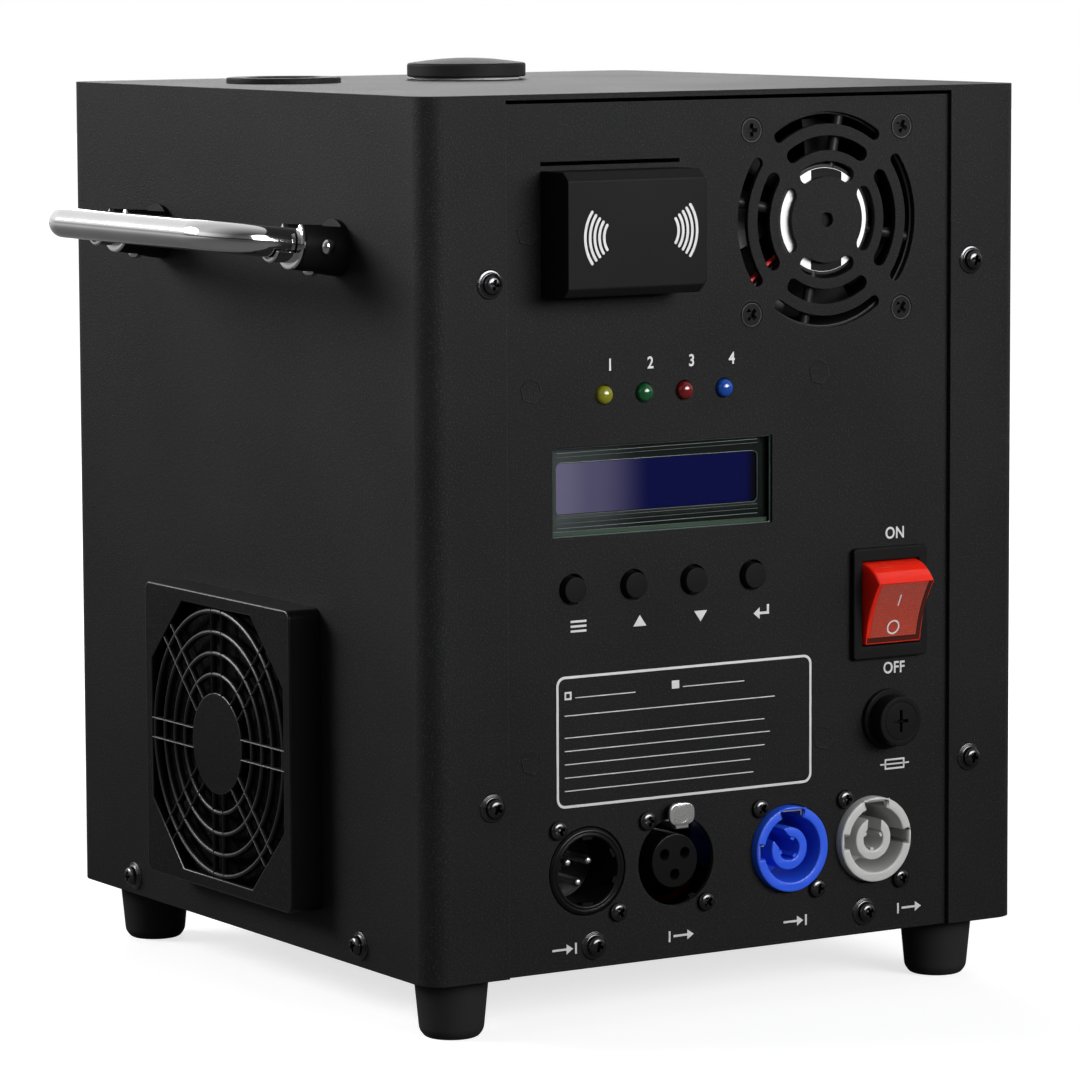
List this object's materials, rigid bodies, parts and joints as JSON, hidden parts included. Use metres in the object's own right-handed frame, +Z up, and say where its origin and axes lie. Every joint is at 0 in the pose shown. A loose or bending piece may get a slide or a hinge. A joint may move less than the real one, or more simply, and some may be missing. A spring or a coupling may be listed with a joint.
{
  "type": "cold spark machine",
  "caption": "Sheet-metal effects machine with a spark outlet and powder hopper on top, a control panel, a fan guard and swing handles.",
  "frame": {"origin": "bottom centre of the whole, on the surface that the feet stand on", "axes": "+Z up, the control panel faces -Y, the fan guard is on the -X side"},
  "size_m": [0.2738, 0.215, 0.2587],
  "materials": {
    "powder_coat": "fine black powder coat",
    "rubber": "matt",
    "black_plastic": "satin moulded",
    "chrome": "polished",
    "foam": "open-cell filter foam",
    "steel": "plain",
    "aluminium": "satin",
    "insulation": "mineral wrap",
    "circuit_board": "solder mask",
    "screen_glass": "clear over blue",
    "lens_yellow": "diffuse lens",
    "lens_green": "diffuse lens",
    "lens_red": "diffuse lens",
    "lens_blue": "diffuse lens",
    "rocker_red": "tinted, textured face",
    "socket_blue": "satin moulded",
    "socket_grey": "satin moulded"
  },
  "bodies": {
    "machine": {"spark_outlet": "powder_coat", "base_tray": "powder_coat", "cover_shell": "powder_coat", "control_panel": "powder_coat", "rear_panel": "powder_coat", "foot_front_left": "rubber", "foot_front_right": "rubber", "foot_rear_left": "rubber", "foot_rear_right": "rubber", "handle_cup_front_left": "black_plastic", "handle_cup_front_right": "black_plastic", "handle_cup_rear_left": "black_plastic", "handle_cup_rear_right": "black_plastic", "handle_liner_front_left": "chrome", "handle_liner_front_right": "chrome", "handle_liner_rear_left": "chrome", "handle_liner_rear_right": "chrome", "guard_base": "black_plastic", "side_fan_frame": "black_plastic", "panel_fan_frame": "black_plastic", "blower_housing": "black_plastic", "hopper_collar": "black_plastic", "lcd_frame": "black_plastic", "remote_box": "black_plastic", "rocker_bezel": "black_plastic", "fuse_holder": "black_plastic", "xlr_male": "black_plastic", "xlr_female": "black_plastic", "guard_filter": "foam", "head_bracket": "steel", "heater_block": "steel", "feed_motor": "steel", "auger_tube": "aluminium", "hopper_funnel": "aluminium", "power_supply": "aluminium", "heater_jacket": "insulation", "main_board": "circuit_board", "control_board": "circuit_board", "lcd_glass": "screen_glass", "led_yellow": "lens_yellow", "led_green": "lens_green", "led_red": "lens_red", "led_blue": "lens_blue", "power_inlet": "socket_blue", "power_outlet": "socket_grey"},
    "handle_left": {"handle_left": "chrome"},
    "handle_right": {"handle_right": "chrome"},
    "side_fan_rotor": {"side_fan_rotor": "black_plastic"},
    "panel_fan_rotor": {"panel_fan_rotor": "black_plastic"},
    "blower_wheel": {"blower_impeller": "black_plastic"},
    "feed_screw": {"feed_auger": "steel"},
    "hopper_cap": {"hopper_cap": "black_plastic"},
    "rocker": {"rocker": "rocker_red"},
    "fuse_carrier": {"fuse_carrier": "black_plastic"},
    "latch": {"xlr_latch": "chrome"},
    "guard_cover": {"guard_cover": "black_plastic"},
    "button_1": {"button_cap_1": "black_plastic"},
    "button_2": {"button_cap_2": "black_plastic"},
    "button_3": {"button_cap_3": "black_plastic"},
    "button_4": {"button_cap_4": "black_plastic"}
  },
  "joints": [
    {"name": "handle_left_swing", "type": "hinge", "parent": "machine", "child": "handle_left", "pos_m": [-0.10396, 0.0007, 0.21199], "axis": [0, 1, 0], "range_deg": [0, 75]},
    {"name": "handle_right_swing", "type": "hinge", "parent": "machine", "child": "handle_right", "pos_m": [0.10396, 0.0113, 0.21199], "axis": [0, -1, 0], "range_deg": [0, 75]},
    {"name": "side_fan_spin", "type": "hinge", "parent": "machine", "child": "side_fan_rotor", "pos_m": [-0.083, 0.003, 0.0709], "axis": [1, 0, 0], "continuous": true},
    {"name": "panel_fan_spin", "type": "hinge", "parent": "machine", "child": "panel_fan_rotor", "pos_m": [0.032, -0.0825, 0.2164], "axis": [0, 1, 0], "continuous": true},
    {"name": "blower_spin", "type": "hinge", "parent": "machine", "child": "blower_wheel", "pos_m": [-0.0617, 0.0525, 0.1375], "axis": [0, 1, 0], "continuous": true},
    {"name": "feed_screw_turn", "type": "hinge", "parent": "machine", "child": "feed_screw", "pos_m": [0, 0.0525, 0.193], "axis": [1, 0, 0], "continuous": true},
    {"name": "hopper_cap_lift", "type": "slide", "parent": "machine", "child": "hopper_cap", "axis": [0, 0, 1], "range_m": [0, 0.04]},
    {"name": "rocker_tip", "type": "hinge", "parent": "machine", "child": "rocker", "pos_m": [0.0524, -0.094, 0.1098], "axis": [-1, 0, 0], "range_deg": [0, 42]},
    {"name": "fuse_carrier_pull", "type": "slide", "parent": "machine", "child": "fuse_carrier", "axis": [0, -1, 0], "range_m": [0, 0.035]},
    {"name": "latch_press", "type": "slide", "parent": "machine", "child": "latch", "axis": [0, 1, 0], "range_m": [0, 0.0012], "stiffness_N_per_m": 400, "springref_m": -0.002},
    {"name": "guard_cover_pull", "type": "slide", "parent": "machine", "child": "guard_cover", "axis": [-1, 0, 0], "range_m": [0, 0.03]},
    {"name": "button_1_press", "type": "slide", "parent": "machine", "child": "button_1", "axis": [0, 1, 0], "range_m": [0, 0.0009], "stiffness_N_per_m": 300, "springref_m": -0.002},
    {"name": "button_2_press", "type": "slide", "parent": "machine", "child": "button_2", "axis": [0, 1, 0], "range_m": [0, 0.0009], "stiffness_N_per_m": 300, "springref_m": -0.002},
    {"name": "button_3_press", "type": "slide", "parent": "machine", "child": "button_3", "axis": [0, 1, 0], "range_m": [0, 0.0009], "stiffness_N_per_m": 300, "springref_m": -0.002},
    {"name": "button_4_press", "type": "slide", "parent": "machine", "child": "button_4", "axis": [0, 1, 0], "range_m": [0, 0.0009], "stiffness_N_per_m": 300, "springref_m": -0.002}
  ]
}
